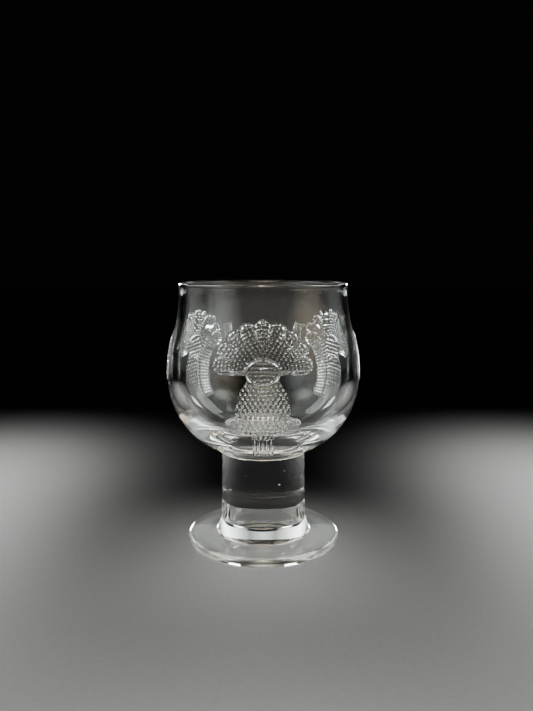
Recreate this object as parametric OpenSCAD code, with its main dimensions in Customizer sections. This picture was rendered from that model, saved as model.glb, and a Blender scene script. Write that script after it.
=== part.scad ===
// Footed shot glass: a blown bowl with a moulded flower relief on its outside, a solid round
// stem, a button of glass under it and a disc foot. The four pieces of clear glass are joined
// hot, face to face. The origin is on the axis, at the level of the ring that the foot rests on.

/* [Overall] */
// Height from the table to the lip
total_h = 75; // [70:0.5:80]
// Outer diameter at the mouth
mouth_d = 47.3; // [44:0.1:50]
// Wall thickness at the mouth
lip_t = 1.5; // [1.2:0.1:2]

/* [Bowl] */
// Outer diameter at the belly, the widest place
belly_d = 54.4; // [52:0.1:58]
// Height of the belly above the table
belly_z = 48.4; // [46:0.1:51]
// Radius of the outline from the belly up towards the neck
shoulder_r = 46; // [40:0.5:50]
// Radius of the outline from the belly down to the stem
underside_r = 22.6; // [21:0.1:24]
// Length of the straight neck under the lip
neck_h = 2.1; // [1:0.1:4]

/* [Cavity] */
// Wall thickness at the belly
belly_t = 2.6; // [2:0.1:3.2]
// Height of the cavity's floor above the table
floor_z = 31.6; // [30.5:0.1:33]
// Height of the cavity's widest place above the table
cavity_z = 49; // [47.5:0.1:50]
// Radius of the cavity's outline from its widest place up
cavity_shoulder_r = 60; // [50:1:70]
// Radius of the cavity's outline from its widest place down to the floor
cavity_side_r = 16.8; // [15:0.1:17]

/* [Stem] */
// Diameter of the stem
stem_d = 24; // [22:0.1:26]
// Radius of the round where the stem's glass spreads on the bowl
spread_r = 1; // [0.6:0.1:1.5]
// Height of the joint between the stem and the button
stem_z = 12.4; // [11.5:0.1:13.5]

/* [Button] */
// Height of the joint between the button and the foot
button_z = 7.2; // [6.5:0.1:8]
// How far the button's side swells out past the stem
button_swell = 0.2; // [0.1:0.05:0.6]

/* [Foot] */
// Diameter of the foot
foot_d = 44.4; // [42:0.1:48]
// Thickness of the foot's round edge
edge_t = 2.6; // [2:0.1:3]
// Height of the foot's top where the collar rises from it
disc_h = 3; // [2.7:0.1:3.6]
// Outer diameter of the collar where it meets the disc
collar_d = 27; // [26:0.1:29]
// Radius of the round between the collar and the disc
collar_round = 0.6; // [0.3:0.1:1]
// Outer diameter of the hollow under the foot
hollow_d = 34; // [28:0.5:38]
// Depth of the hollow under the foot
hollow_h = 0.6; // [0.3:0.1:1]

/* [Relief] */
// Height of the relief above the bowl's surface
relief_h = 0.35; // [0.2:0.05:0.5]
// Height of the daisies' centres above the table
daisy_z = 53.5; // [52:0.5:55]
// Width of a daisy's hatched eye
eye_w = 8; // [7:0.1:8.6]
// Height of a daisy's hatched eye
eye_h = 6.4; // [5.6:0.1:7]
// Number of petals in a daisy's fan
petal_count = 9; // [7:2:11]
// Distance from the daisy's centre to its petals' tips
petal_reach = 12.8; // [12:0.1:13.2]
// Widest width of a petal
petal_w = 5; // [4.8:0.1:5.4]
// Inner radius of the ribbed wings at a daisy's sides
wing_inner_r = 13.6; // [13.4:0.1:14.4]
// Outer radius of the ribbed wings at a daisy's sides
wing_outer_r = 16.8; // [16:0.1:18]
// Widest width of the daisy's leaf
leaf_w = 14; // [12:0.1:15]
// Height above the table of the leaf's round lower end
leaf_z = 36; // [35:0.5:37]
// Width of the strokes under the leaf, all together
strokes_w = 5.8; // [4:0.1:7]
// Height above the table of the strokes' lower ends
strokes_z = 29.5; // [28.5:0.5:31]

/* [Hidden] */
$fn = 180;

mouth_r = mouth_d / 2;
belly_r = belly_d / 2;
stem_r = stem_d / 2;
neck_z = total_h - neck_h;

cavity_mouth_r = mouth_r - lip_t;
cavity_belly_r = belly_r - belly_t;

foot_r = foot_d / 2;
edge_r = edge_t / 2;
collar_r = collar_d / 2;
hollow_r = hollow_d / 2;

bowl_color = [0.86, 0.9, 0.89, 0.4];
stem_color = [0.84, 0.89, 0.88, 0.4];

// Height above the bowl's lowest place at which the stem's glass starts to spread
spread_start = 0.4;
// The spread ends at this share of its radius, in a thin edge on the bowl
spread_share = 0.6;

// How deep the relief's solids reach into the wall, so that they join it
relief_root = 0.8;
// Number of daisies round the bowl
flower_count = 3;
// Angle of the fan of petals
petal_fan = 162;
petal_step = petal_fan / (petal_count - 1);
// Radius at which the petals start, inside the eye
petal_start = 2;
// How much of a petal's width its inner end has
petal_taper = 0.4;
// Angles at which a wing starts and ends, from the horizontal
wing_angles = [-24, 34];
// The leaf's two sides would meet in points this far above the daisy's centre, inside the eye,
// and this far below the leaf's lower end, where a round cuts them off
leaf_over = 1;
leaf_under = 5;
// Radius of the leaf's round lower end, as a share of the leaf's width
leaf_end_share = 0.68;
// How far the strokes reach up into the leaf
strokes_lap = 1;

// Curves that run into each other have radii rounded to a tenth, the hollow ones up and the
// round ones down. They then cross at a very small angle, which leaves no slivers between them.
function rounded_up(r) = ceil(10 * r + 1) / 10;
function rounded_down(r) = floor(10 * r - 2) / 10;

// Radius of the hollow neck curve that runs smoothly into a shoulder of radius r between
// a belly (widest radius a, at height za) and a neck (radius b, at height zb)
function neck_curve_r(r, a, za, b, zb) =
    rounded_up(((zb - za) ^ 2 + (a - b) ^ 2) / (2 * (a - b)) - r);

// Radius of a floor curve centred on the axis, of depth d under the belly (widest radius a),
// that runs smoothly into a side curve of radius r
function floor_curve_r(r, a, d) = rounded_down(((a - r) ^ 2 + d ^ 2 - r ^ 2) / (2 * (d - r)));

// A rectangle between two radii and two heights
module band(r0, r1, z0, z1) {
    translate([r0, z0]) square([r1 - r0, z1 - z0]);
}

// Half section of a vase shape from its belly up: a shoulder that swells, then a neck that
// curves the other way and ends straight at the top; grow moves the whole outline outwards
module vase_half(a, za, b, zb, top, shoulder, grow = 0) {
    neck = neck_curve_r(shoulder, a, za, b, zb);
    meet_z = za + (zb - za) * (shoulder + grow) / (shoulder + neck);
    intersection() {
        translate([a - shoulder, za]) circle(shoulder + grow);
        band(0, 2 * a, za, zb);
    }
    difference() {
        band(0, (a + b) / 2 + grow, meet_z, zb);
        translate([b + neck, zb]) circle(neck - grow);
    }
    band(0, b + grow, zb, top);
}

// Half section of the bowl's outside, as a filled shape
module outside_half(grow = 0) {
    centre_r = belly_r - underside_r;
    vase_half(belly_r, belly_z, mouth_r, neck_z, total_h - lip_t / 2, shoulder_r, grow);
    intersection() {
        translate([centre_r, belly_z]) circle(underside_r + grow);
        band(centre_r, 2 * belly_r, 0, belly_z);
    }
    band(0, centre_r, belly_z - underside_r - grow, belly_z);
}

// Half section of the cavity, as a filled shape
module cavity_half() {
    floor_r = floor_curve_r(cavity_side_r, cavity_belly_r, cavity_z - floor_z);
    centre_r = cavity_belly_r - cavity_side_r;
    // Radius at which the floor curve runs into the side curve
    meet_r = centre_r * floor_r / (floor_r - cavity_side_r);
    vase_half(cavity_belly_r, cavity_z, cavity_mouth_r, neck_z, total_h, cavity_shoulder_r);
    intersection() {
        translate([centre_r, cavity_z]) circle(cavity_side_r);
        band(centre_r, belly_r, 0, cavity_z);
    }
    intersection() {
        translate([0, floor_z + floor_r]) circle(floor_r);
        band(0, meet_r, 0, cavity_z);
    }
}

// Outline of one petal, pointing along +Y: straight sides that spread into a round tip
module petal_2d() {
    tip_r = petal_w / 2;
    // Just inside the round tip's widest place
    side_x = 0.94 * tip_r;
    translate([0, petal_reach - tip_r]) circle(tip_r);
    polygon([
        [-petal_taper * tip_r, petal_start],
        [petal_taper * tip_r, petal_start],
        [side_x, petal_reach - tip_r],
        [-side_x, petal_reach - tip_r]
    ]);
}

// Outline of the leaf under a daisy: two round sides, and a round lower end
module leaf_2d() {
    low = leaf_z - leaf_under - daisy_z;
    length = leaf_over - low;
    // Radius of the two sides, for the leaf's length and width
    side_r = (length ^ 2 + leaf_w ^ 2) / (4 * leaf_w);
    end_r = leaf_end_share * leaf_w;
    intersection() {
        translate([side_r - leaf_w / 2, low + length / 2]) circle(side_r);
        translate([leaf_w / 2 - side_r, low + length / 2]) circle(side_r);
        union() {
            translate([0, leaf_z - daisy_z + end_r]) circle(end_r);
            translate([-leaf_w / 2, leaf_z - daisy_z + end_r]) square([leaf_w, length]);
        }
    }
}

// Outline of the ribbed wing on the right of a daisy
module wing_2d() {
    // Far enough out for the wedge's straight end to clear the wing's round edge
    far = 1.3 * wing_outer_r;
    intersection() {
        difference() {
            circle(wing_outer_r);
            circle(wing_inner_r);
        }
        polygon([
            [0, 0],
            far * [cos(wing_angles[0]), sin(wing_angles[0])],
            far * [cos(wing_angles[1]), sin(wing_angles[1])]
        ]);
    }
}

// Outline of a daisy: eye, petals in a fan, a wing at each side, and a leaf and strokes below
module daisy_2d() {
    scale([1, eye_h / eye_w]) circle(d = eye_w);
    for (i = [0 : petal_count - 1])
        rotate((petal_count - 1 - 2 * i) * petal_step / 2) petal_2d();
    wing_2d();
    mirror([1, 0]) wing_2d();
    leaf_2d();
    translate([-strokes_w / 2, strokes_z - daisy_z])
        square([strokes_w, leaf_z + strokes_lap - strokes_z]);
}

// A low plateau that follows the bowl's surface, under a daisy's outline cast on it from outside;
// place 0 faces -Y, and the others follow round the bowl
module daisy(place) {
    rotate(place * 360 / flower_count)
        intersection() {
            rotate_extrude() difference() {
                outside_half(relief_h);
                outside_half(-relief_root);
            }
            translate([0, 0, daisy_z])
                rotate([90, 0, 0])
                    linear_extrude(2 * belly_r) daisy_2d();
        }
}

module bowl() {
    color(bowl_color) {
        rotate_extrude() {
            difference() {
                outside_half();
                cavity_half();
            }
            // The lip, rounded by the flame
            translate([mouth_r - lip_t / 2, total_h - lip_t / 2]) circle(lip_t / 2);
        }
        for (place = [0 : flower_count - 1])
            daisy(place);
    }
}

// The stem's top cups the round underside of the bowl and spreads a little on it
module stem() {
    spread_x = stem_r + spread_share * spread_r;
    spread_z = belly_z - underside_r + spread_start;
    // A height inside the bowl
    inside_z = belly_z - underside_r / 2;
    color(stem_color)
        rotate_extrude() difference() {
            union() {
                band(0, stem_r, stem_z, inside_z);
                difference() {
                    band(stem_r / 2, spread_x, spread_z, inside_z);
                    translate([stem_r + spread_r, spread_z]) circle(spread_r);
                }
            }
            outside_half();
        }
}

module button() {
    // Radius of the side's curve, for its height and swell
    side_r = ((stem_z - button_z) ^ 2 / 4 + button_swell ^ 2) / (2 * button_swell);
    color(stem_color)
        rotate_extrude() intersection() {
            translate([stem_r + button_swell - side_r, (stem_z + button_z) / 2]) circle(side_r);
            band(0, 2 * stem_r, button_z, stem_z);
        }
}

module foot() {
    // Radius of the hollow's dome, for its width and depth
    dome_r = (hollow_r ^ 2 + hollow_h ^ 2) / (2 * hollow_h);
    color(stem_color)
        rotate_extrude() difference() {
            union() {
                // Disc with a round edge and a top that rises a little towards the collar
                polygon([
                    [0, 0],
                    [foot_r - edge_r, 0],
                    [foot_r - edge_r, edge_t],
                    [collar_r, disc_h],
                    [0, disc_h]
                ]);
                translate([foot_r - edge_r, edge_r]) circle(edge_r);
                // Collar that narrows to the button
                polygon([
                    [0, 0],
                    [collar_r, disc_h],
                    [stem_r, button_z],
                    [0, button_z]
                ]);
                collar_corner();
            }
            translate([0, hollow_h - dome_r]) circle(dome_r, $fn = 4 * $fn);
        }
}

// Half section of the round that fills the corner between the collar and the disc
module collar_corner() {
    // The round cuts this far into both sides, so that it crosses them
    overcut = 0.002;
    tilt = atan((collar_r - stem_r) / (button_z - disc_h));
    slope = atan((disc_h - edge_t) / (foot_r - edge_r - collar_r));
    // Half of the angle that the corner's two sides enclose, seen from outside
    half = (90 + tilt + slope) / 2;
    // Direction from the corner to the round's centre, and the distance to it
    aim = half - slope;
    reach = collar_round / sin(half);
    touch = collar_round / tan(half);
    corner = [collar_r, disc_h];
    centre = corner + reach * [cos(aim), sin(aim)];
    difference() {
        polygon([
            corner - reach * [cos(aim), sin(aim)],
            corner + touch * [cos(slope), -sin(slope)],
            centre,
            corner + touch * [-sin(tilt), cos(tilt)]
        ]);
        translate(centre) circle(collar_round + overcut);
    }
}

bowl();
stem();
button();
foot();
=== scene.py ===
"""A footed shot glass of clear glass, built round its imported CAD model.

The four fused pieces keep the CAD model's outlines. Each is turned here as a fine closed mesh, the
bowl with the beads, ribs and net of its relief, and gets its glass. The sizes of the shapes are
in millimetres, and MM turns them into Blender's metres. The sizes in the materials, the stage and
the lights are in metres.
"""

import math
import random

import bpy
import numpy as np
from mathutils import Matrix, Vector


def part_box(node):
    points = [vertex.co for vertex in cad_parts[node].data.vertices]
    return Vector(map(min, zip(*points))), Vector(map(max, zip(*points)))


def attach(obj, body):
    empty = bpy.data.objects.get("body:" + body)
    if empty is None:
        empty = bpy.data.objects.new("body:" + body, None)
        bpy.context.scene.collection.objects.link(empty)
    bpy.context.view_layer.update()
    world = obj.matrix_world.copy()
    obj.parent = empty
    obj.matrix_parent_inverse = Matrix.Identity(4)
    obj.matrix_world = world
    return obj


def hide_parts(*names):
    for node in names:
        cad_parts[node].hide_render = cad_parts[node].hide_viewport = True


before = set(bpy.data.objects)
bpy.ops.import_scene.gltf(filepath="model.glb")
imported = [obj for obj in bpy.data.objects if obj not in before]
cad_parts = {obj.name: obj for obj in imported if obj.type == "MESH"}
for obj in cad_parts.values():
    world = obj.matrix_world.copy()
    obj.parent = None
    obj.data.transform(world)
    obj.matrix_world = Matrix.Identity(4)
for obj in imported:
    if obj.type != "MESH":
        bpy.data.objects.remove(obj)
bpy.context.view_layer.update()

MM = 0.001

# ---------------------------------------------------------------- sizes from the frame

TOTAL_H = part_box("bowl")[1].z / MM
BOWL_BASE_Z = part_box("bowl")[0].z / MM
BUTTON_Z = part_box("button")[0].z / MM
STEM_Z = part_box("button")[1].z / MM
FOOT_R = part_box("foot")[1].x / MM

# ---------------------------------------------------------------- the glass's outlines

# Bowl, outside: mouth, belly, and the radii of the arcs above and below the belly
MOUTH_R = 23.65
NECK_Z = TOTAL_H - 2.1
BELLY_R = 27.2
BELLY_Z = 48.4
SHOULDER_R = 46
UNDERSIDE_R = BELLY_Z - BOWL_BASE_Z
LIP_R = 0.75

# Bowl, inside
CAVITY_MOUTH_R = MOUTH_R - 2 * LIP_R
CAVITY_BELLY_R = 24.6
CAVITY_Z = 49
CAVITY_SHOULDER_R = 60
CAVITY_SIDE_R = 16.8
FLOOR_Z = 31.6

# Stem and button
STEM_R = 12
SPREAD_R = 1
SPREAD_X = 0.6 * SPREAD_R
SPREAD_Z = BOWL_BASE_Z + 0.4
BUTTON_SWELL = 0.2

# Gas seeds in the stem: their number, how far out and how high they lie, and their smallest and
# largest radius
SEED_COUNT = 9
SEED_REACH = STEM_R * 0.8
SEED_TOP_Z = 24
SEED_R = (0.1, 0.22)
SEED_RINGS = 8
SEED_COLUMNS = 12

# Foot
EDGE_R = 1.3
DISC_H = 3
COLLAR_R = 13.5
COLLAR_ROUND = 0.6
HOLLOW_R = 17
HOLLOW_H = 0.6

# ---------------------------------------------------------------- the relief's pattern

RELIEF_H = 0.34

# Shares of that height: of the ground between beads or ridges, and of these over the ground
NET_SHARES = (0.25, 0.6)
PETAL_SHARES = (0.4, 0.5)
RIM_SHARES = (0.45, 0.55)
LEAF_SHARES = (0.1, 0.9)

# Shares of the wings' ribs and of the strokes under the leaf, which have no ground
RIB_SHARE = 0.8
STROKE_SHARE = 0.8

# Width of the slope at the edge of a raised field
SLOPE_W = 0.2

# One daisy faces -Y, and there is one every third of a turn
DAISY_COUNT = 3
DAISY_Z = 53.5

# Eye, with its rim and its net of ridges, and the power that makes these ridges narrow
EYE_W = 8.8
EYE_H = 6.6
EYE_RIM_W = 0.4
NET_PITCH = 1
NET_POWER = 5

# Fan of petals, with the angle from its first petal to its last one in degrees
PETAL_COUNT = 9
PETAL_FAN = 162
PETAL_REACH = 12.8
PETAL_TIP_R = 2.5
PETAL_TAPER = 0.4
PETAL_START = 2
FAN_CORE_R = 9
FAN_LOW_Y = -0.75

# The beads' pitch along a row, the pitch of the rows, and the beads' diameter
PETAL_BEAD = (1.1, 0.95, 0.8)
LEAF_BEAD = (1.27, 1.08, 0.88)

# Rim round the fan, with the step of its beads in degrees
RIM_W = 0.8
RIM_BEAD_STEP = 4.2

# Wings at the sides, with their angles in degrees
WING_INNER_R = 13.6
WING_OUTER_R = 16.8
WING_LOW = -24
WING_HIGH = 34
WING_RIB_STEP = 2.9

# Leaf, and how far below its round end its two sides would meet
LEAF_TOP_Z = 54.5
LEAF_LOW_Z = 36
LEAF_UNDER = 5
LEAF_W = 14
LEAF_END_R = 0.68 * LEAF_W

# Upright strokes under the leaf
STROKES_LOW_Z = 29.5
STROKES_W = 5.8
STROKE_PITCH = 1.15

# ---------------------------------------------------------------- unevenness and meshes

# The plain outside lies this far inside the CAD model's, which is drawn with flat faces
SKIN_GAP = 0.012

# Height of the upright streaks in the upper bowl's faces, and where they start
STREAK_H = 0.018
STREAK_LOW_Z = 58

# How far the wall's inside and the lip stray, and the height of the lip that stays plain
WALL_SWAY = 0.07
LIP_DIP = 0.06
PLAIN_LIP_H = 1.5

# The floor lies this far under the foot's ring, so that the two faces don't coincide
FLOOR_GAP = 0.03

# Mesh columns round the axis, of the bowl and of the plain pieces, and the length of a mesh row
# where the relief is and in the cavity
BOWL_COLUMNS = 1320
PLAIN_COLUMNS = 360
RELIEF_ROW = 0.13
CAVITY_ROW = 1.2

# Edges that turn by more than this angle in degrees stay sharp
SHARP_TURN = 40


# ---------------------------------------------------------------- outlines as points

# The last number of a line or an arc is its count of mesh rows

def arc(centre, radius, start, end, steps):
    """Points (r, z) along an arc between two angles in degrees, without the last one."""
    angles = np.radians(np.linspace(start, end, steps + 1)[:-1])
    return [(centre[0] + radius * math.cos(a), centre[1] + radius * math.sin(a)) for a in angles]


def line(start, end, steps):
    """Points (r, z) along a straight line, without the last one."""
    shares = np.linspace(0, 1, steps + 1)[:-1]
    return [
        (start[0] + s * (end[0] - start[0]), start[1] + s * (end[1] - start[1])) for s in shares
    ]


def rows_of(radius, turn, row=RELIEF_ROW):
    """How many mesh rows an arc takes that turns through an angle in degrees."""
    return max(2, math.ceil(radius * math.radians(turn) / row))


def neck_radius(shoulder, belly_r, belly_z, mouth_r):
    """Radius of the neck's hollow arc, which runs smoothly into the shoulder's arc."""
    height = NECK_Z - belly_z
    width = belly_r - mouth_r
    return (height ** 2 + width ** 2) / (2 * width) - shoulder


def vase_up(belly_r, belly_z, mouth_r, shoulder, row):
    """Points from a belly up to its neck: a round shoulder, then a hollow neck."""
    neck = neck_radius(shoulder, belly_r, belly_z, mouth_r)
    turn = math.degrees(math.asin((NECK_Z - belly_z) / (shoulder + neck)))
    return (
        arc((belly_r - shoulder, belly_z), shoulder, 0, turn, rows_of(shoulder, turn, row))
        + arc((mouth_r + neck, NECK_Z), neck, 180 + turn, 180, rows_of(neck, turn, row))
    )


def outside_points():
    """The bowl's outside, from the axis under it up to the lip."""
    centre = (BELLY_R - UNDERSIDE_R, BELLY_Z)
    # The fine rows start just below the relief
    low = math.degrees(math.asin((BELLY_Z - STROKES_LOW_Z + 0.5) / UNDERSIDE_R))
    return (
        line((0, BOWL_BASE_Z), (centre[0], BOWL_BASE_Z), 3)
        + arc(centre, UNDERSIDE_R, -90, -low, 14)
        + arc(centre, UNDERSIDE_R, -low, 0, rows_of(UNDERSIDE_R, low))
        + vase_up(BELLY_R, BELLY_Z, MOUTH_R, SHOULDER_R, RELIEF_ROW)
        + line((MOUTH_R, NECK_Z), (MOUTH_R, TOTAL_H - LIP_R), 3)
    )


def cavity_points():
    """The bowl's inside, from the lip down to the axis."""
    depth = CAVITY_Z - FLOOR_Z
    centre_r = CAVITY_BELLY_R - CAVITY_SIDE_R
    floor_r = (centre_r ** 2 + depth ** 2 - CAVITY_SIDE_R ** 2) / (2 * (depth - CAVITY_SIDE_R))
    turn = math.degrees(math.asin(centre_r / (floor_r - CAVITY_SIDE_R)))
    up = vase_up(CAVITY_BELLY_R, CAVITY_Z, CAVITY_MOUTH_R, CAVITY_SHOULDER_R, CAVITY_ROW)
    # The side's arc starts a little below the belly, where the neck's points end
    return (
        line((CAVITY_MOUTH_R, TOTAL_H - LIP_R), (CAVITY_MOUTH_R, NECK_Z), 3)
        + [(CAVITY_MOUTH_R, NECK_Z)]
        + up[::-1]
        + arc((centre_r, CAVITY_Z), CAVITY_SIDE_R, -1.5, turn - 90, 24)
        + arc((0, FLOOR_Z + floor_r), floor_r, turn - 90, -90, 8)
        + [(0, FLOOR_Z)]
    )


def lip_points():
    """The flame-rounded lip, from the outside to the inside."""
    return arc((MOUTH_R - LIP_R, TOTAL_H - LIP_R), LIP_R, 0, 180, 12)


def underside_z(r):
    """Height of the bowl's underside at a radius."""
    centre_r = BELLY_R - UNDERSIDE_R
    return BELLY_Z - math.sqrt(UNDERSIDE_R ** 2 - max(0, r - centre_r) ** 2)


def stem_points():
    """The stem, from its bottom's middle out, up, and back over the cup that holds the bowl."""
    edge_turn = math.degrees(math.acos((SPREAD_X - SPREAD_R) / SPREAD_R))
    edge_r = STEM_R + SPREAD_X
    cup = [(r, underside_z(r)) for r in np.linspace(edge_r, 0, 19)]
    return (
        line((0, STEM_Z), (STEM_R, STEM_Z), 4)
        + line((STEM_R, STEM_Z), (STEM_R, SPREAD_Z), 24)
        + arc((STEM_R + SPREAD_R, SPREAD_Z), SPREAD_R, 180, edge_turn, 8)
        + [(edge_r, SPREAD_Z + SPREAD_R * math.sin(math.radians(edge_turn)))]
        + cup
    )


def button_points():
    """The button: a flat underside, a slightly swollen side and a flat top."""
    height = STEM_Z - BUTTON_Z
    side_r = (height ** 2 / 4 + BUTTON_SWELL ** 2) / (2 * BUTTON_SWELL)
    turn = math.degrees(math.asin(height / 2 / side_r))
    centre = (STEM_R + BUTTON_SWELL - side_r, (STEM_Z + BUTTON_Z) / 2)
    return (
        line((0, BUTTON_Z), (STEM_R, BUTTON_Z), 4)
        + arc(centre, side_r, -turn, turn, 12)
        + line((STEM_R, STEM_Z), (0, STEM_Z), 4)
        + [(0, STEM_Z)]
    )


def foot_points():
    """The foot, from the hollow under it round its edge, up the collar and back to the axis."""
    disc_r = FOOT_R - EDGE_R
    dome_r = (HOLLOW_R ** 2 + HOLLOW_H ** 2) / (2 * HOLLOW_H)
    dome_turn = math.degrees(math.asin(HOLLOW_R / dome_r))
    tilt = math.degrees(math.atan((COLLAR_R - STEM_R) / (BUTTON_Z - DISC_H)))
    slope = math.degrees(math.atan((DISC_H - 2 * EDGE_R) / (disc_r - COLLAR_R)))
    half = (90 + tilt + slope) / 2
    reach = COLLAR_ROUND / math.sin(math.radians(half))
    aim = math.radians(half - slope)
    corner = (COLLAR_R + reach * math.cos(aim), DISC_H + reach * math.sin(aim))
    touch = arc(corner, COLLAR_ROUND, -90 - slope, tilt - 180, 10)
    return (
        arc((0, HOLLOW_H - dome_r), dome_r, 90, 90 - dome_turn, 12)
        + line((HOLLOW_R, 0), (disc_r, 0), 4)
        + arc((disc_r, EDGE_R), EDGE_R, -90, 90, 20)
        + line((disc_r, 2 * EDGE_R), touch[0], 8)
        + touch
        + line(touch[-1], (STEM_R, BUTTON_Z), 10)
        + line((STEM_R, BUTTON_Z), (0, BUTTON_Z), 4)
        + [(0, BUTTON_Z)]
    )


# ---------------------------------------------------------------- the relief as heights, 0 to 1

def rise(distance, width):
    """0 outside an edge, rising smoothly to 1 at a width inside it."""
    t = np.clip(distance / width, 0, 1)
    return t * t * (3 - 2 * t)


def ridges(x, pitch):
    """Parallel round ridges, 1 on their crests and 0 between them."""
    return 0.5 + 0.5 * np.cos(2 * np.pi * x / pitch)


def over_ground(shares, detail):
    """A detail from 0 to 1 on its ground, each with its share of the relief's height."""
    return shares[0] + shares[1] * detail


def dome(distance, radius):
    """A round dome's height, 1 in its middle and 0 from a distance of its radius on."""
    return np.clip(1 - (distance / radius) ** 2, 0, 1)


def beads(x, y, across, up, diameter):
    """Round beads in staggered rows."""
    row = np.round(y / up)
    dx = (x / across + 0.5 * (row % 2) + 0.5) % 1 - 0.5
    return dome(np.hypot(dx * across, y - row * up), diameter / 2)


def ring_beads(reach, angle, across, out, diameter):
    """Round beads in rings round the daisy's middle."""
    ring = np.maximum(np.round(reach / out), 1)
    count = np.round(2 * np.pi * ring * out / across)
    turn = (angle / (2 * np.pi) * count + 0.5 * (ring % 2) + 0.5) % 1 - 0.5
    return dome(np.hypot(turn * 2 * np.pi * ring * out / count, reach - ring * out), diameter / 2)


def fan_inside(x, y):
    """Distance inside the outline of the fan of petals, below 0 outside it."""
    tip = PETAL_REACH - PETAL_TIP_R
    inside = np.minimum(FAN_CORE_R - np.hypot(x, y), y - FAN_LOW_Y)
    for i in range(PETAL_COUNT):
        turn = math.radians(PETAL_FAN * (i / (PETAL_COUNT - 1) - 0.5))
        along = y * math.cos(turn) + x * math.sin(turn)
        across = np.abs(x * math.cos(turn) - y * math.sin(turn))
        share = np.clip((along - PETAL_START) / (tip - PETAL_START), 0, 1)
        half_w = PETAL_TIP_R * (PETAL_TAPER + (1 - PETAL_TAPER) * share)
        straight = np.minimum(half_w - across, along - PETAL_START)
        rounded = PETAL_TIP_R - np.hypot(across, along - tip)
        inside = np.maximum(inside, np.where(along < tip, straight, rounded))
    return inside


def leaf_inside(x, y):
    """Distance inside the leaf's outline: two round sides and a round lower end."""
    low = LEAF_LOW_Z - LEAF_UNDER - DAISY_Z
    high = LEAF_TOP_Z - DAISY_Z
    side_r = ((high - low) ** 2 + LEAF_W ** 2) / (4 * LEAF_W)
    sides = side_r - np.hypot(np.abs(x) + side_r - LEAF_W / 2, y - (low + high) / 2)
    end_y = LEAF_LOW_Z - DAISY_Z + LEAF_END_R
    end = LEAF_END_R - np.hypot(x, np.minimum(y - end_y, 0))
    return np.minimum(sides, end)


def eye_height(x, y):
    """The daisy's eye: an oval net of fine ridges in a thin rim."""
    inside = (1 - np.hypot(2 * x / EYE_W, 2 * y / EYE_H)) * EYE_H / 2
    net = np.maximum(ridges(x, NET_PITCH), ridges(y, NET_PITCH)) ** NET_POWER
    field = rise(inside - EYE_RIM_W, SLOPE_W) * over_ground(NET_SHARES, net)
    return np.maximum(field, dome(inside - EYE_RIM_W / 2, EYE_RIM_W / 2))


def fan_height(x, y):
    """The fan of petals: a field of beads with a beaded rim round its scalloped outline."""
    inside = fan_inside(x, y)
    angle = np.arctan2(x, y)
    ribs = ridges(np.degrees(angle), RIM_BEAD_STEP)
    rim = over_ground(RIM_SHARES, ribs) * dome(inside - RIM_W / 2, RIM_W / 2)
    field = over_ground(PETAL_SHARES, ring_beads(np.hypot(x, y), angle, *PETAL_BEAD))
    return np.maximum(rim, field * rise(inside - RIM_W, SLOPE_W))


def wing_height(x, y):
    """The wings at the daisy's sides: radial ribs with a row of beads outside them."""
    reach = np.hypot(x, y)
    angle = np.degrees(np.arctan2(y, np.abs(x)))
    ends = rise(angle - WING_LOW, 3) * rise(WING_HIGH - angle, 14)
    ribs = ridges(angle, WING_RIB_STEP)
    inside = np.minimum(reach - WING_INNER_R, WING_OUTER_R - RIM_W - reach)
    border = dome(WING_OUTER_R - RIM_W / 2 - reach, RIM_W / 2)
    return ends * ribs * np.maximum(RIB_SHARE * rise(inside, 2 * SLOPE_W), border)


def leaf_height(x, y):
    """The leaf of larger beads under the daisy, and the upright strokes under it."""
    leaf = over_ground(LEAF_SHARES, beads(x, y, *LEAF_BEAD)) * rise(leaf_inside(x, y), 0.25)
    z = y + DAISY_Z
    ends = rise(np.minimum(z - STROKES_LOW_Z, LEAF_LOW_Z + 0.4 - z), 0.6)
    strokes = ridges(x, STROKE_PITCH) ** 2 * ends * rise(STROKES_W / 2 - np.abs(x), SLOPE_W)
    return np.maximum(leaf, STROKE_SHARE * strokes)


def daisy_height(x, y):
    """A daisy with its wings and leaf; the eye lies over the petals and the leaf."""
    eye_edge = np.hypot(2 * x / EYE_W, 2 * y / EYE_H)
    fan = np.where(leaf_inside(x, y) > 0, 0, fan_height(x, y))
    around = np.maximum.reduce([fan, wing_height(x, y), leaf_height(x, y)])
    return np.where(eye_edge < 1, eye_height(x, y), around * rise(eye_edge - 1, 0.1))


def relief(radius, angle, z):
    """Height of the relief in millimetres at places on the bowl's outside."""
    step = 2 * np.pi / DAISY_COUNT
    local = ((angle + np.pi / 2) / step + 0.5) % 1 * step - step / 2
    return RELIEF_H * daisy_height(radius * np.sin(local), z - DAISY_Z)


# ---------------------------------------------------------------- hand-made unevenness

def streaks(angle, z):
    """Upright streaks from -1 to 1 round the glass, which lean a little."""
    return (
        0.45 * np.sin(23 * angle + z / 9)
        + 0.35 * np.sin(37 * angle - 1.1 - z / 6)
        + 0.2 * np.sin(61 * angle + 0.4 + z / 8)
    )


def sway(angle, z):
    """A slow unevenness from -1 to 1 round and along the glass."""
    return (
        0.5 * np.sin(2 * angle + 0.7 + z / 19)
        + 0.3 * np.sin(3 * angle - 1.9 - z / 11)
        + 0.2 * np.sin(5 * angle + 2.6 + z / 7)
    )


# ---------------------------------------------------------------- meshes

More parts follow.
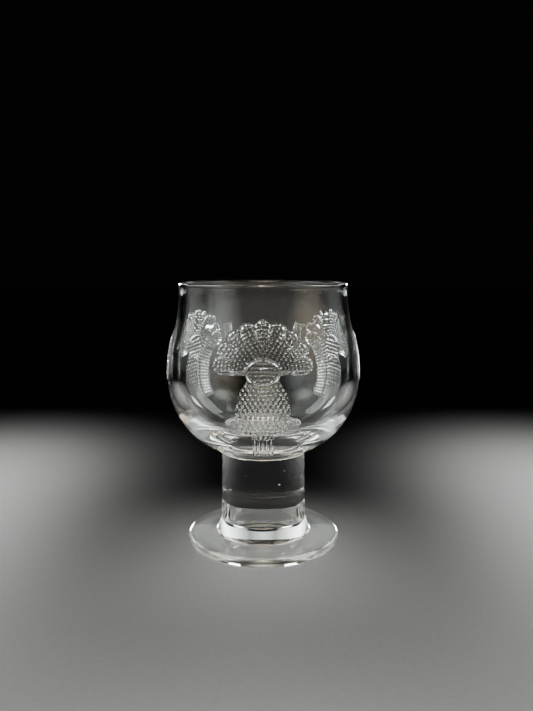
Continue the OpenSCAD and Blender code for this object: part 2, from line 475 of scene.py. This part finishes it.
def turned(name, points, shape=None, columns=PLAIN_COLUMNS):
    """A closed mesh turned round the Z axis from points that start and end on it.

    shape takes the arrays of radius, angle and height of all rings, and returns radius and height.
    """
    points = np.array(points)
    rings = points[1:-1]
    angle = np.linspace(0, 2 * np.pi, columns, endpoint=False)[None, :]
    angle = np.repeat(angle, len(rings), axis=0)
    radius = np.repeat(rings[:, :1], columns, axis=1)
    height = np.repeat(rings[:, 1:], columns, axis=1)
    if shape:
        radius, height = shape(radius, angle, height)
    ring_co = np.stack([radius * np.cos(angle), radius * np.sin(angle), height], axis=-1)
    co = np.concatenate([[(0, 0, points[0][1])], ring_co.reshape(-1, 3), [(0, 0, points[-1][1])]])

    here = np.arange(columns)
    right = np.roll(here, -1)
    faces = [(0, 1 + r, 1 + h) for h, r in zip(here, right)]
    for ring in range(len(rings) - 1):
        low = 1 + ring * columns
        high = low + columns
        faces += zip(low + here, low + right, high + right, high + here)
    last = 1 + (len(rings) - 1) * columns
    faces += [(last + h, last + r, len(co) - 1) for h, r in zip(here, right)]

    mesh = bpy.data.meshes.new(name)
    mesh.from_pydata((co * MM).tolist(), [], [tuple(map(int, f)) for f in faces])
    mesh.polygons.foreach_set("use_smooth", [True] * len(mesh.polygons))
    mesh.set_sharp_from_angle(angle=math.radians(SHARP_TURN))
    piece = bpy.data.objects.new(name, mesh)
    bpy.context.scene.collection.objects.link(piece)
    return piece


def bowl_shape(outside_rings, lip_rings):
    """A function that adds the relief and the unevenness to the bowl's rings."""

    def shape(radius, angle, z):
        # The outline's direction, from the rings before and after
        dr = np.gradient(radius, axis=0)
        dz = np.gradient(z, axis=0)
        length = np.hypot(dr, dz)
        push = np.zeros_like(radius)
        push[:outside_rings] = relief(radius, angle, z)[:outside_rings] - SKIN_GAP
        inner = outside_rings + lip_rings
        # The wall's inside is uneven below the lip and above the floor
        under_lip = TOTAL_H - PLAIN_LIP_H - z
        fade = rise(under_lip[inner:], 6) * rise(radius[inner:], 6)
        push[inner:] = WALL_SWAY * sway(angle[inner:], z[inner:]) * fade
        # The streaks only go inwards
        fade = rise(under_lip, 3) * rise(z - STREAK_LOW_Z, 8)
        push += STREAK_H * (streaks(angle, z) - 1) * fade
        # The lip was cut by hand, and dips a little from place to place
        dip = LIP_DIP * (1 + sway(angle, 0)) * rise(z - NECK_Z, 1)
        return radius + push * dz / length, z - push * dr / length - dip

    return shape


def make_bowl():
    """The bowl, with its relief and its rounded lip."""
    outside = outside_points()
    lip = lip_points()
    shape = bowl_shape(len(outside) - 1, len(lip))
    return turned("bowl_glass", outside + lip + cavity_points(), shape, BOWL_COLUMNS)


def seed_points(centre, size):
    """A gas bubble's points: the lowest one, the rings from below, and the highest one."""
    co = [(centre[0], centre[1], centre[2] - size)]
    for ring in range(1, SEED_RINGS):
        tilt = math.pi * ring / SEED_RINGS
        out = size * math.sin(tilt)
        for column in range(SEED_COLUMNS):
            turn = 2 * math.pi * column / SEED_COLUMNS
            x = centre[0] + out * math.cos(turn)
            y = centre[1] + out * math.sin(turn)
            co.append((x, y, centre[2] - size * math.cos(tilt)))
    return co + [(centre[0], centre[1], centre[2] + size)]


def seed_faces(first, last):
    """The faces of a bubble whose points run from first to last; they look into it."""
    faces = []
    top = (SEED_RINGS - 2) * SEED_COLUMNS
    for column in range(SEED_COLUMNS):
        here = first + 1 + column
        right = first + 1 + (column + 1) % SEED_COLUMNS
        faces.append((first, here, right))
        for low in range(0, top, SEED_COLUMNS):
            high = low + SEED_COLUMNS
            faces.append((here + low, here + high, right + high, right + low))
        faces.append((here + top, last, right + top))
    return faces


def add_seeds(stem):
    """A few tiny gas bubbles that were caught in the stem, as round hollows in its mesh."""
    draw = random.Random(7)
    co = []
    faces = []
    for _ in range(SEED_COUNT):
        reach = SEED_REACH * math.sqrt(draw.random())
        turn = draw.uniform(0, 2 * math.pi)
        z = draw.uniform(STEM_Z + 1, SEED_TOP_Z)
        first = len(co)
        co += seed_points((reach * math.cos(turn), reach * math.sin(turn), z), draw.uniform(*SEED_R))
        faces += seed_faces(first, len(co) - 1)
    mesh = bpy.data.meshes.new("seeds")
    mesh.from_pydata([[MM * v for v in p] for p in co], [], faces)
    mesh.polygons.foreach_set("use_smooth", [True] * len(faces))
    seeds = bpy.data.objects.new("seeds", mesh)
    bpy.context.scene.collection.objects.link(seeds)
    with bpy.context.temp_override(
        active_object=stem, object=stem, selected_editable_objects=[stem, seeds]
    ):
        bpy.ops.object.join()


# ---------------------------------------------------------------- materials

# Tints of the thin bowl and of the three solid pieces
BOWL_TINT = (0.975, 0.985, 0.98)
SOLID_TINT = (0.97, 0.982, 0.977)

# Height of the waves in the glass's faces, and depth of the rest wear, in metres
WAVE_H = 0.00002
WEAR_LOW = 0.00001
WEAR_HIGH = 0.00006

# Roughness of the smears and of the rest wear, where they are strongest
SMEAR = 0.03
WEAR = 0.2


def node(tree, kind, inputs=None, **settings):
    """A new shader node with its settings and input values."""
    made = tree.nodes.new(kind)
    for key, value in settings.items():
        setattr(made, key, value)
    for key, value in (inputs or {}).items():
        made.inputs[key].default_value = value
    return made


def new_material(name):
    """An empty node material, with its node tree and its output node."""
    material = bpy.data.materials.new(name)
    material.use_nodes = True
    tree = material.node_tree
    tree.nodes.clear()
    return material, tree, node(tree, "ShaderNodeOutputMaterial")


def rest_wear(tree, place):
    """The roughness of fine scratches, on the ring that a foot rests on and nowhere else."""
    fine = node(tree, "ShaderNodeTexNoise", {"Scale": 2600, "Detail": 2, "Distortion": 3})
    tree.links.new(place.outputs["Object"], fine.inputs["Vector"])
    split = node(tree, "ShaderNodeSeparateXYZ")
    tree.links.new(place.outputs["Object"], split.inputs["Vector"])
    depths = {"From Min": WEAR_LOW, "From Max": WEAR_HIGH, "To Min": WEAR, "To Max": 0}
    low = node(tree, "ShaderNodeMapRange", depths)
    tree.links.new(split.outputs["Z"], low.inputs["Value"])
    worn = node(tree, "ShaderNodeMath", operation="MULTIPLY")
    tree.links.new(low.outputs["Result"], worn.inputs[0])
    tree.links.new(fine.outputs["Fac"], worn.inputs[1])
    return worn.outputs["Value"]


def glass(name, tint, scratched=False):
    """Clear glass with faint clouds, smears and waves, and rest wear under a foot."""
    material, tree, output = new_material(name)
    link = tree.links.new
    shader = node(tree, "ShaderNodeBsdfPrincipled", {"Transmission Weight": 1.0, "IOR": 1.52})
    place = node(tree, "ShaderNodeTexCoord")

    clouds = node(tree, "ShaderNodeTexNoise", {"Scale": 60, "Detail": 3, "Roughness": 0.6})
    link(place.outputs["Object"], clouds.inputs["Vector"])
    tone = node(tree, "ShaderNodeValToRGB")
    tone.color_ramp.elements[0].position = 0.35
    tone.color_ramp.elements[0].color = (*[0.97 * c for c in tint], 1)
    tone.color_ramp.elements[1].position = 0.65
    tone.color_ramp.elements[1].color = (*tint, 1)
    link(clouds.outputs["Fac"], tone.inputs["Fac"])
    link(tone.outputs["Color"], shader.inputs["Base Color"])

    smears = node(tree, "ShaderNodeTexNoise", {"Scale": 110, "Detail": 4, "Distortion": 1.2})
    link(place.outputs["Object"], smears.inputs["Vector"])
    gloss = node(tree, "ShaderNodeMapRange", {"From Min": 0.55, "From Max": 0.8, "To Max": SMEAR})
    link(smears.outputs["Fac"], gloss.inputs["Value"])
    roughness = gloss.outputs["Result"]

    if scratched:
        worn = rest_wear(tree, place)
        both = node(tree, "ShaderNodeMath", operation="MAXIMUM")
        link(roughness, both.inputs[0])
        link(worn, both.inputs[1])
        roughness = both.outputs["Value"]
    link(roughness, shader.inputs["Roughness"])

    waves = node(tree, "ShaderNodeTexNoise", {"Scale": 90, "Detail": 1, "Roughness": 0.4})
    stretch = node(tree, "ShaderNodeMapping", {"Scale": (1, 1, 0.45)})
    link(place.outputs["Object"], stretch.inputs["Vector"])
    link(stretch.outputs["Vector"], waves.inputs["Vector"])
    bump = node(tree, "ShaderNodeBump", {"Distance": WAVE_H})
    link(waves.outputs["Fac"], bump.inputs["Height"])
    link(bump.outputs["Normal"], shader.inputs["Normal"])
    link(shader.outputs["BSDF"], output.inputs["Surface"])
    return material


def fused():
    """The faces where two pieces of glass are melted together, which bend no light."""
    material, tree, output = new_material("fused")
    clear = node(tree, "ShaderNodeBsdfTransparent")
    tree.links.new(clear.outputs["BSDF"], output.inputs["Surface"])
    return material


def pale_floor():
    """A plain pale matt board with a fine grain."""
    material, tree, output = new_material("floor_board")
    link = tree.links.new
    shader = node(tree, "ShaderNodeBsdfPrincipled", {"Roughness": 0.7})
    place = node(tree, "ShaderNodeTexCoord")
    grain = node(tree, "ShaderNodeTexNoise", {"Scale": 900, "Detail": 4})
    link(place.outputs["Object"], grain.inputs["Vector"])
    tone = node(tree, "ShaderNodeValToRGB")
    tone.color_ramp.elements[0].color = (0.6, 0.6, 0.59, 1)
    tone.color_ramp.elements[1].color = (0.7, 0.7, 0.69, 1)
    link(grain.outputs["Fac"], tone.inputs["Fac"])
    link(tone.outputs["Color"], shader.inputs["Base Color"])
    link(shader.outputs["BSDF"], output.inputs["Surface"])
    return material


# ---------------------------------------------------------------- the pieces

# How far a face's middle may lie from a flat joint, and from the cup's round one
FLAT_GAP = 0.01
CUP_GAP = 0.03


def in_bowl_joint(r, z, up):
    """Where the bowl stands in the stem's cup."""
    return r < STEM_R + SPREAD_X and z < FLOOR_Z - 2


def in_stem_joint(r, z, up):
    """The stem's flat bottom, and the cup in its top without the cup's steep edge."""
    in_cup = abs(z - underside_z(r)) < CUP_GAP and r < STEM_R + SPREAD_X and up > 0.5
    return abs(z - STEM_Z) < FLAT_GAP or in_cup


def in_button_joint(r, z, up):
    """The button's flat top and bottom."""
    return up > 0.99


def in_foot_joint(r, z, up):
    """The top of the foot's collar."""
    return z > BUTTON_Z - FLAT_GAP


def finish_glass(piece, name, material, in_joint):
    """Gives a piece its glass, and the fused material where it is melted to the next piece.

    in_joint takes a face's middle as a radius and a height in millimetres, and how much the face
    looks up or down, from 0 to 1.
    """
    piece.data.materials.append(material)
    piece.data.materials.append(fused_glass)
    for face in piece.data.polygons:
        r = math.hypot(face.center.x, face.center.y) / MM
        if in_joint(r, face.center.z / MM, abs(face.normal.z)):
            face.material_index = 1
    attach(piece, "root")
    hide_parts(name)
    # Clear glass lets nearly all light through
    piece.visible_shadow = False


fused_glass = fused()

bowl = make_bowl()
finish_glass(bowl, "bowl", glass("bowl_glass", BOWL_TINT), in_bowl_joint)

stem = turned("stem_glass", stem_points())
add_seeds(stem)
finish_glass(stem, "stem", glass("stem_glass", SOLID_TINT), in_stem_joint)

button = turned("button_glass", button_points())
finish_glass(button, "button", glass("button_glass", SOLID_TINT), in_button_joint)

foot = turned("foot_glass", foot_points())
finish_glass(foot, "foot", glass("foot_glass", SOLID_TINT, scratched=True), in_foot_joint)

# ---------------------------------------------------------------- stage

# The floor's width, and the nearly black colour around it
FLOOR_SIZE = 4
SURROUND = (0.003, 0.0032, 0.0035, 1)

bpy.ops.mesh.primitive_plane_add(size=FLOOR_SIZE, location=(0, 0, -FLOOR_GAP * MM))
floor = bpy.context.object
floor.name = "floor"
floor.data.materials.append(pale_floor())

world = bpy.data.worlds.new("surround")
world.use_nodes = True
world.node_tree.nodes["Background"].inputs["Color"].default_value = SURROUND
bpy.context.scene.world = world

# ---------------------------------------------------------------- light, in metres and degrees

# The point that the soft boxes are aimed at, and their distance from it
AIM = Vector((0, 0, 40 * MM))
SOFT_BOX_DISTANCE = 0.8

# Nearly straight down onto the floor, seen from it
DOWN = Vector((0, -0.2, 1)).normalized()

WHITE = (1, 1, 1)
COOL = (0.94, 1, 0.97)
WARM = (1, 0.88, 0.7)
HAZE = (1, 0.93, 0.88)

# What the soft boxes light: the glass and not the floor, as if flags kept them off it
glass_only = bpy.data.collections.new("glass_only")
for piece in (bowl, stem, button, foot):
    glass_only.objects.link(piece)


def lamp_at(name, away, distance, aim, size, power, color=WHITE):
    """A soft rectangular lamp in a direction from a point, aimed at it, and dimmer off its axis."""
    lamp = bpy.data.lights.new(name, "AREA")
    lamp.shape = "RECTANGLE"
    lamp.size = size[0]
    lamp.size_y = size[1]
    lamp.spread = 2 * math.atan(max(size) / 2 / distance)
    lamp.energy = power
    lamp.color = color
    holder = bpy.data.objects.new(name, lamp)
    holder.location = aim + away * distance
    holder.rotation_mode = "QUATERNION"
    holder.rotation_quaternion = away.to_track_quat("Z", "Y")
    holder.visible_camera = False
    bpy.context.scene.collection.objects.link(holder)
    return holder


def soft_box(name, turn, lift, size, power, color=COOL):
    """A soft box turned round the glass from the camera's side and lifted above the horizon."""
    turn = math.radians(turn)
    lift = math.radians(lift)
    level = math.cos(lift)
    away = Vector((math.sin(turn) * level, -math.cos(turn) * level, math.sin(lift)))
    holder = lamp_at(name, away, SOFT_BOX_DISTANCE, AIM, size, power, color)
    holder.light_linking.receiver_collection = glass_only


# Each with its turn, lift, width and height, and power
soft_box("front_left", -58, 18, (1.0, 1.0), 0.8)
soft_box("front_right", 64, 18, (1.0, 1.0), 0.65, WARM)
soft_box("side_left", -104, 12, (0.8, 0.8), 0.15)
soft_box("side_right", 108, 12, (0.8, 0.8), 0.1)
soft_box("high_left", -96, 42, (0.7, 0.7), 0.5)
soft_box("high_right", 98, 42, (0.7, 0.7), 0.5)
soft_box("back_left", -160, 7, (0.16, 0.13), 0.075)
soft_box("back_right", 159, 7, (0.16, 0.13), 0.07)
soft_box("strip_back", 180, 22, (0.5, 0.12), 0.006)
soft_box("strip_left", -138, 22, (0.9, 0.12), 0.1)
soft_box("strip_right", 137, 22, (0.9, 0.12), 0.1)
soft_box("front_top", 0, 46, (0.7, 0.7), 0.75, WARM)

# A faint panel behind the bowl, which fills it with grey
haze = lamp_at("haze", Vector((0, 1, 0)), 0.28, Vector((0, 0, 0.125)), (0.4, 0.24), 0.0023, HAZE)
haze.light_linking.receiver_collection = glass_only

# Lamps over the floor, which leave it dark behind the glass
lamp_at("floor_front", DOWN, 0.6, Vector((0, -0.165, 0)), (0.3, 0.16), 0.13)
lamp_at("floor_left", DOWN, 0.4, Vector((-0.12, 0.02, 0)), (0.06, 0.16), 0.045)
lamp_at("floor_right", DOWN, 0.4, Vector((0.12, 0.02, 0)), (0.06, 0.16), 0.045)
lamp_at("floor_middle", DOWN, 0.4, Vector((0, -0.01, 0)), (0.06, 0.06), 0.003)

# ---------------------------------------------------------------- camera

camera = bpy.data.objects.new("camera", bpy.data.cameras.new("camera"))
camera.data.lens = 34.4
camera.location = (0.9 * MM, -192.2 * MM, 80.5 * MM)
camera.rotation_euler = (math.radians(82.18), 0, 0)
camera.data.clip_start = 0.01
bpy.context.scene.collection.objects.link(camera)
bpy.context.scene.camera = camera

bpy.context.scene.view_settings.look = "AgX - Medium High Contrast"

# Light passes many faces of glass before it leaves the thick base
cycles = bpy.context.scene.cycles
cycles.max_bounces = 24
cycles.transmission_bounces = 24
cycles.glossy_bounces = 12
cycles.transparent_max_bounces = 24

# The soft boxes don't light the floor through the glass either
cycles.caustics_refractive = False
cycles.caustics_reflective = False
